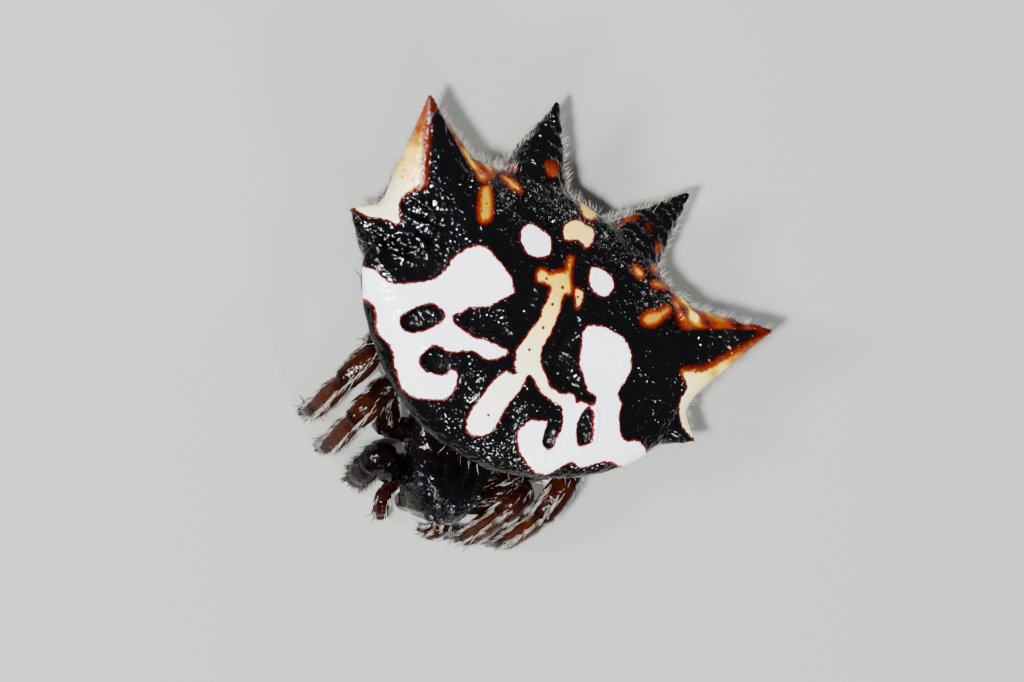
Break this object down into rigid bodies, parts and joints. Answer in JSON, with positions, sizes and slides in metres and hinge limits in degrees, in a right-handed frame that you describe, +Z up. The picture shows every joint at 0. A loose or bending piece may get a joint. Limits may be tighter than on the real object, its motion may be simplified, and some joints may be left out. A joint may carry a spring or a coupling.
{
  "type": "spiny orb weaver spider model",
  "caption": "Life-size still model of a spiny orb weaver: a wide spined black shield with white marks, folded legs, standing level.",
  "frame": {"origin": "on the floor under the middle of the model's box", "axes": "+Z up, -Y the way the spider looks, +X its left side"},
  "size_m": [0.01, 0.01, 0.0042],
  "materials": {
    "shell": "black glossy granular hard skin with white and orange enamel-like marks",
    "carapace": "black glossy granular hard skin",
    "leg": "dark red-brown hard skin with pale hairs",
    "skin": "dark brown softer skin"
  },
  "bodies": {
    "root": {"abdomen": "shell", "carapace": "carapace", "sternum": "skin", "pedicel": "skin", "spinnerets": "skin", "chelicera_left": "carapace", "chelicera_right": "carapace", "palp_left": "leg", "palp_right": "leg", "leg_1_left": "leg", "leg_1_right": "leg", "leg_2_left": "leg", "leg_2_right": "leg", "leg_3_left": "leg", "leg_3_right": "leg", "leg_4_left": "leg", "leg_4_right": "leg"}
  },
  "joints": []
}
